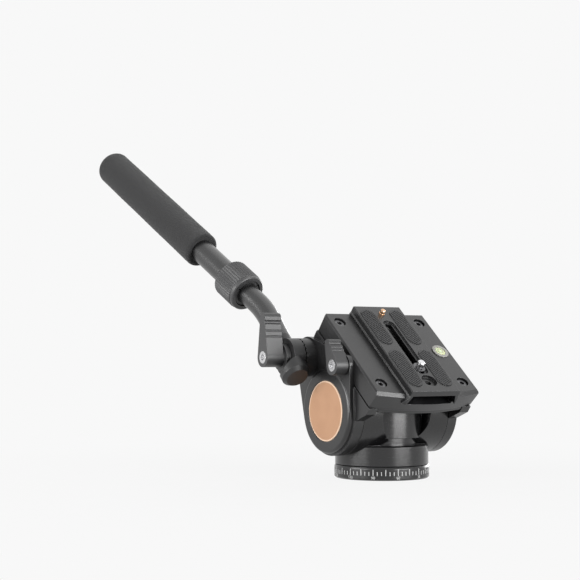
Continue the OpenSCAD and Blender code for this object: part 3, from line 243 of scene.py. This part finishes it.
def vial_material():
    """The level's glass with its pale green liquid."""
    t = Tree("vial")
    xyz = t.coords()
    broad = t.noise(xyz, 240, 2.0)
    color = t.mix(t.spread(broad, 0.0, 1.0), (0.87, 0.9, 0.44), (0.95, 0.97, 0.57))
    return t.surface(color, t.spread(broad, 0.06, 0.12), coat=0.6, Subsurface_Weight=0.2)


def white_material():
    """The scale's paint."""
    t = Tree("scale_white")
    fine = t.noise(t.coords(), 1500, 2.0)
    return t.surface(t.mix(t.spread(fine, 0, 1), (0.5, 0.5, 0.5), (0.72, 0.72, 0.72)), 0.5)


# Where a coated finish below is given a second, lighter colour, that colour is a painted highlight for its sharp
# edges.
CAST = coated("cast_black", (0.008, 0.008, 0.0084), rough=0.33, grain=900, grain_height=0.00003,
              edge_highlight=(0.09, 0.09, 0.093), shiny=0.62)
DRUM = coated("drum_black", (0.006, 0.006, 0.0063), rough=0.22, grain=1100, grain_height=0.000012,
              edge_highlight=(0.05, 0.05, 0.052), shiny=0.58)
TUBE = coated("tube_black", (0.011, 0.011, 0.0115), rough=0.3, grain=700, grain_height=0.000003,
              edge_highlight=None, bevel=0)
CLAMP = coated("clamp_black", (0.012, 0.012, 0.0125), rough=0.46, grain=1000, grain_height=0.00003,
               edge_highlight=(0.07, 0.07, 0.072), shiny=0.6)
LEVER = coated("lever_grey", (0.018, 0.018, 0.0188), rough=0.48, grain=1200, grain_height=0.00003,
               edge_highlight=(0.09, 0.09, 0.093), shiny=0.8)
KNURL = coated("collar_grey", (0.024, 0.024, 0.025), rough=0.42, grain=1200, grain_height=0.00003,
               edge_highlight=(0.08, 0.08, 0.082), bevel=0.0004)
DARK_STEEL = bare_metal("dark_steel", (0.16, 0.16, 0.165), 0.36)
BRIGHT_STEEL = bare_metal("bright_steel", (0.72, 0.72, 0.73), 0.26)
BRASS = bare_metal("brass", (0.72, 0.47, 0.3), 0.3)
PLASTIC = coated("drag_plastic", (0.4, 0.395, 0.37), rough=0.5, grain=900, grain_height=0.00002,
                 edge_highlight=(0.5, 0.49, 0.47), shiny=0.5)
RUBBER = coated("pad_rubber", (0.024, 0.024, 0.025), rough=0.5, grain=1400, grain_height=0.00004,
                edge_highlight=(0.05, 0.05, 0.052), bevel=0.0003, shiny=0.5)
COPPER = copper_material()
FOAM = foam_material()
VIAL = vial_material()
WHITE = white_material()
PLAIN_RUBBER = coated("plain_rubber", (0.014, 0.014, 0.015), rough=0.7, grain=1300, grain_height=0.00004,
                      edge_highlight=(0.03, 0.03, 0.03), shiny=0.5)
RING_MARK = coated("vial_mark", (0.02, 0.022, 0.015), rough=0.4, grain=900, grain_height=0.00001,
                   edge_highlight=(0.03, 0.03, 0.03))

finish_of = {
    "black_cast": CAST,
    "ring_black": DRUM,
    "black_tube": TUBE,
    "lever": LEVER,
    "dark_steel": DARK_STEEL,
    "bright_steel": BRIGHT_STEEL,
    "brass": BRASS,
    "copper": COPPER,
    "rubber": PLAIN_RUBBER,
    "foam": FOAM,
    "drag_plastic": PLASTIC,
    "vial": VIAL,
}
special = {
    "plate_pads": RUBBER,
    "lock_collar": KNURL,
    "pan_housing": DRUM,
    "handle_clamp": CLAMP,
    "fixed_rosette": CLAMP,
}
slot_of = {s["node"]: s["material_slot"] for s in frame["record"]["subparts"]}


def paint(obj, material):
    obj.data.materials.clear()
    obj.data.materials.append(material)


for name, obj in nodes.items():
    paint(obj, special.get(name, finish_of[slot_of[name]]))


# Added pieces


def piece(name, verts, faces, material, body, smooth=False):
    mesh = bpy.data.meshes.new(name)
    mesh.from_pydata([tuple(v) for v in verts], [], faces)
    mesh.validate()
    mesh.update()
    for polygon in mesh.polygons:
        polygon.use_smooth = smooth
    obj = bpy.data.objects.new(name, mesh)
    bpy.context.scene.collection.objects.link(obj)
    paint(obj, material)
    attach(obj, body)
    return obj


def frame_for(axis):
    """Two unit vectors square to an axis."""
    axis = axis.normalized()
    a = axis.orthogonal().normalized()
    return a, axis.cross(a)


def revolve(profile, start, axis, sides):
    """Vertices and faces of a closed turned solid: profile is (radius, distance along axis)."""
    a, b = frame_for(axis)
    axis = axis.normalized()
    verts, faces = [], []
    for r, h in profile:
        for k in range(sides):
            turn = 2 * math.pi * k / sides
            verts.append(start + axis * h + r * (math.cos(turn) * a + math.sin(turn) * b))
    rows = len(profile)
    for i in range(rows - 1):
        for k in range(sides):
            n = (k + 1) % sides
            faces.append((i * sides + k, i * sides + n, (i + 1) * sides + n, (i + 1) * sides + k))
    faces.append(tuple(reversed(range(sides))))
    faces.append(tuple((rows - 1) * sides + k for k in range(sides)))
    return verts, faces


# The degree scale: white marks and numbers on the scale ring
PAINT_LIFT = 0.00003
PAINT_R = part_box("scale_ring")[1].x + PAINT_LIFT
SCALE_ZERO = 44.6
MARK_STEP, LONG_MARK_EVERY = 5, 3
MARK_LOW, MARK_SHORT, MARK_LONG = 0.0042, 0.0074, 0.0094
MARK_HALF = 0.0003
MARK_SINK, MARK_PROUD = -0.0002, 0.00004
NUMBER_STEP = 30
NUMBER_Z, NUMBER_H = 0.0013, 0.0034


def on_ring(angle, z, lift):
    """A point on the ring's side; angle 0 is in front and positive to the right."""
    turn = math.radians(angle)
    r = PAINT_R + lift
    return Vector((r * math.sin(turn), -r * math.cos(turn), z))


mark_verts, mark_faces = [], []
half = math.degrees(MARK_HALF / PAINT_R)
for step in range(360 // MARK_STEP):
    angle = SCALE_ZERO - MARK_STEP * step
    high = MARK_LONG if step % LONG_MARK_EVERY == 0 else MARK_SHORT
    i = len(mark_verts)
    for lift in (MARK_SINK, MARK_PROUD):
        for da, z in ((-half, MARK_LOW), (half, MARK_LOW), (half, high), (-half, high)):
            mark_verts.append(on_ring(angle + da, z, lift))
    mark_faces += [(i + 4, i + 5, i + 6, i + 7), (i, i + 3, i + 2, i + 1)]
    mark_faces += [(i + k, i + (k + 1) % 4, i + 4 + (k + 1) % 4, i + 4 + k) for k in range(4)]
piece("scale_marks", mark_verts, mark_faces, WHITE, "base")


def number_mesh(text, angle, z, height):
    """A small flat number wrapped on the ring."""
    curve = bpy.data.curves.new("number", "FONT")
    curve.body = text
    curve.size = height
    curve.align_x = "CENTER"
    holder = bpy.data.objects.new("number", curve)
    bpy.context.scene.collection.objects.link(holder)
    bpy.context.view_layer.update()
    flat = holder.to_mesh()
    verts = [on_ring(angle + math.degrees(v.co.x / PAINT_R), z + v.co.y, MARK_PROUD) for v in flat.vertices]
    faces = [tuple(p.vertices) for p in flat.polygons]
    holder.to_mesh_clear()
    bpy.data.objects.remove(holder)
    bpy.data.curves.remove(curve)
    return verts, faces


number_verts, number_faces = [], []
for value in range(0, 360, NUMBER_STEP):
    verts, faces = number_mesh(str(value), SCALE_ZERO - value, NUMBER_Z, NUMBER_H)
    offset = len(number_verts)
    number_verts += verts
    number_faces += [tuple(i + offset for i in f) for f in faces]
piece("scale_numbers", number_verts, number_faces, WHITE, "base")

# The foam grip: a soft turned skin that takes the CAD grip's place, length and radius from the frame
NEAR_ROUND, FAR_ROUND = 0.003, 0.008
NEAR_STEPS = [0, 0.0002, 0.0007, 0.0014, 0.0022, NEAR_ROUND]
STRAIGHT_STEPS, FAR_STEPS = 60, 10
GRIP_SIDES = 120
GRIP_MOUTH_R, GRIP_MOUTH_DEPTH = 0.0112, 0.0012
GRIP_TIP_R = 0.0004
SKIN_INSET = 0.00012
LONG_WAVE, LONG_WAVE_RATE = 0.00008, 900
SHORT_WAVE, SHORT_WAVE_RATE = 0.00006, 2300
grip_axis = Vector(joint("grip_extend")["axis"]).normalized()
collar_point = Vector(joint("collar_turn")["pos_m"])
offsets = [v.co - collar_point for v in nodes["foam_grip"].data.vertices]
distances = [offset.dot(grip_axis) for offset in offsets]
grip_start = collar_point + grip_axis * min(distances)
GRIP_L = max(distances) - min(distances)
GRIP_R = max((offset - grip_axis * d).length for offset, d in zip(offsets, distances))


def grip_radius(t):
    """The grip's radius at a distance from its near end, with both ends rounded."""
    if t < NEAR_ROUND:
        return GRIP_R - NEAR_ROUND + math.sqrt(max(0, NEAR_ROUND**2 - (NEAR_ROUND - t) ** 2))
    if t > GRIP_L - FAR_ROUND:
        return GRIP_R - FAR_ROUND + math.sqrt(max(0, FAR_ROUND**2 - (t - GRIP_L + FAR_ROUND) ** 2))
    return GRIP_R


def grip_wobble(t):
    """The foam's slight waves between its rounded ends."""
    if not NEAR_ROUND < t < GRIP_L - FAR_ROUND:
        return 0
    long_wave = LONG_WAVE * math.sin(t * LONG_WAVE_RATE)
    return long_wave + SHORT_WAVE * math.sin(t * SHORT_WAVE_RATE + 1)


straight = GRIP_L - NEAR_ROUND - FAR_ROUND
steps = list(NEAR_STEPS)
steps += [NEAR_ROUND + straight * k / STRAIGHT_STEPS for k in range(1, STRAIGHT_STEPS + 1)]
steps += [GRIP_L - FAR_ROUND * math.cos(math.pi / 2 * k / FAR_STEPS) for k in range(1, FAR_STEPS + 1)]
profile = [(GRIP_MOUTH_R, GRIP_MOUTH_DEPTH)]
profile += [(grip_radius(t) - SKIN_INSET + grip_wobble(t), t) for t in steps]
profile.append((GRIP_TIP_R, GRIP_L))
verts, faces = revolve(profile, grip_start, grip_axis, GRIP_SIDES)
grip = piece("foam_skin", verts, faces, FOAM, "grip", True)
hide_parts("foam_grip")

# The camera screw's thread, as rings round the stud
THREAD_RINGS, THREAD_PITCH = 3, 0.00102
THREAD_START, FIRST_RING = 0.0009, 0.00095
THREAD_CORE, THREAD_ROOT, THREAD_CREST = 0.0029, 0.00305, 0.00325
CREST_AT, RING_END = 0.0005, 0.001
THREAD_SIDES = 48
stud_place = Vector(joint("camera_screw_turn")["pos_m"])
thread_profile = [(THREAD_CORE, THREAD_START)]
for k in range(THREAD_RINGS):
    z = FIRST_RING + k * THREAD_PITCH
    thread_profile += [(THREAD_ROOT, z), (THREAD_CREST, z + CREST_AT), (THREAD_ROOT, z + RING_END)]
verts, faces = revolve(thread_profile, stud_place, UP, THREAD_SIDES)
piece("camera_thread", verts, faces, BRIGHT_STEEL, "camera_stud", True)

# The ring on the level's glass, which slopes down from its middle
VIAL_RING_IN, VIAL_RING_OUT, VIAL_RING_T = 0.0024, 0.0027, 0.00006
VIAL_RING_DROP = 0.00015
VIAL_SIDES = 48
vial_top = max((v.co for v in nodes["bubble_vial"].data.vertices), key=UP.dot)
low_edge = [(VIAL_RING_IN, 0), (VIAL_RING_OUT, 0)]
high_edge = [(VIAL_RING_OUT, VIAL_RING_T), (VIAL_RING_IN, VIAL_RING_T)]
verts, faces = revolve(low_edge + high_edge, vial_top - UP * VIAL_RING_DROP, UP, VIAL_SIDES)
# The inner wall takes the place of the two end faces
faces = faces[:-2]
last = 3 * VIAL_SIDES
for k in range(VIAL_SIDES):
    n = (k + 1) % VIAL_SIDES
    faces.append((last + k, last + n, n, k))
piece("vial_mark", verts, faces, RING_MARK, "tilt_head")

# Stage: pale floor, soft lights, the photograph's camera
FLOOR_REACH = 6.0
FLOOR_DROP = 0.0005
PALE, NEAR_PALE = 0.939, 1.02
FLOOR_GLOW = 0.86
SHADOW_NEAR, SHADOW_FAR = 0.12, 0.5
WORLD_LIGHT = 0.06
LIGHT_AIM = Vector((0, 0, 0.06))
LENS, SENSOR = 82.47, 36
EYE = (-0.6715, -0.9493, 0.1063)
EYE_PITCH, EYE_YAW = 2.76, 31.35

scene = bpy.context.scene
scene.view_settings.view_transform = "Standard"


def background_rays(tree):
    """One where the camera, a reflection or a refraction sees the background, and zero for its light."""
    path = tree.nodes.new("ShaderNodeLightPath")
    total = path.outputs["Is Camera Ray"]
    for ray in ("Is Glossy Ray", "Is Transmission Ray"):
        larger = tree.nodes.new("ShaderNodeMath")
        larger.operation = "MAXIMUM"
        tree.links.new(total, larger.inputs[0])
        tree.links.new(path.outputs[ray], larger.inputs[1])
        total = larger.outputs[0]
    return total


def floor_material():
    """A diffuse share near the object keeps its shadow; further off the floor meets the backdrop."""
    t = Tree("floor")
    xyz = t.coords()
    grain = t.spread(t.noise(xyz, 30, 2.0), 0, 1)
    length = t.add("VectorMath", operation="LENGTH")
    t.link(xyz, length.inputs[0])
    away = length.outputs["Value"]
    share = t.spread(away, FLOOR_GLOW, 1.0, SHADOW_NEAR, SHADOW_FAR)
    diffuse = t.add("BsdfDiffuse")
    t.link(t.mix(grain, (0.44, 0.44, 0.44), (0.48, 0.48, 0.48)), diffuse.inputs["Color"])
    glow = t.add("Emission")
    glow.inputs["Color"].default_value = (1, 1, 1, 1)
    t.link(t.spread(away, NEAR_PALE, PALE, SHADOW_NEAR, SHADOW_FAR), glow.inputs["Strength"])
    choose = t.add("MixShader")
    t.link(t.math("MULTIPLY", background_rays(t.tree), share), choose.inputs[0])
    t.link(diffuse.outputs[0], choose.inputs[1])
    t.link(glow.outputs[0], choose.inputs[2])
    t.link(choose.outputs[0], t.out.inputs["Surface"])
    return t.material


floor_mesh = bpy.data.meshes.new("floor")
corners = [(x * FLOOR_REACH, y * FLOOR_REACH, 0) for x, y in ((-1, -1), (1, -1), (1, 1), (-1, 1))]
floor_mesh.from_pydata(corners, [], [(0, 1, 2, 3)])
floor_mesh.materials.append(floor_material())
floor = bpy.data.objects.new("floor", floor_mesh)
floor.location.z = -FLOOR_DROP
scene.collection.objects.link(floor)

world = bpy.data.worlds.new("studio")
scene.world = world
world.use_nodes = True
tree = world.node_tree
tree.nodes.clear()
out = tree.nodes.new("ShaderNodeOutputWorld")
seen = tree.nodes.new("ShaderNodeBackground")
seen.inputs["Color"].default_value = (PALE, PALE, PALE, 1)
lit = tree.nodes.new("ShaderNodeBackground")
lit.inputs["Color"].default_value = (1, 1, 1, 1)
lit.inputs["Strength"].default_value = WORLD_LIGHT
choose = tree.nodes.new("ShaderNodeMixShader")
tree.links.new(background_rays(tree), choose.inputs[0])
tree.links.new(lit.outputs[0], choose.inputs[1])
tree.links.new(seen.outputs[0], choose.inputs[2])
tree.links.new(choose.outputs[0], out.inputs["Surface"])


def softbox(name, azimuth, elevation, distance, size, power):
    """A rectangular soft light; azimuth 0 is in front and positive to the right."""
    light = bpy.data.lights.new(name, "AREA")
    light.shape = "RECTANGLE"
    light.size, light.size_y = size
    light.energy = power
    obj = bpy.data.objects.new(name, light)
    a, e = math.radians(azimuth), math.radians(elevation)
    towards = Vector((math.sin(a) * math.cos(e), -math.cos(a) * math.cos(e), math.sin(e)))
    place = towards * distance + LIGHT_AIM
    obj.location = place
    obj.rotation_euler = (LIGHT_AIM - place).to_track_quat("-Z", "Y").to_euler()
    scene.collection.objects.link(obj)


softbox("key", azimuth=17, elevation=8, distance=1.4, size=(0.95, 0.5), power=20)
softbox("left", azimuth=-92, elevation=10, distance=1.4, size=(1.05, 0.8), power=22)
softbox("right", azimuth=118, elevation=8, distance=1.5, size=(1.2, 0.6), power=14)
softbox("top", azimuth=110, elevation=56, distance=1.6, size=(2.4, 2.4), power=8)

camera = bpy.data.cameras.new("camera")
camera.sensor_width = SENSOR
camera.lens = LENS
camera.clip_start = 0.05
camera.clip_end = 20
eye = bpy.data.objects.new("camera", camera)
eye.location = EYE
eye.rotation_euler = (math.radians(90 + EYE_PITCH), 0, math.radians(-EYE_YAW))
scene.collection.objects.link(eye)
scene.camera = eye
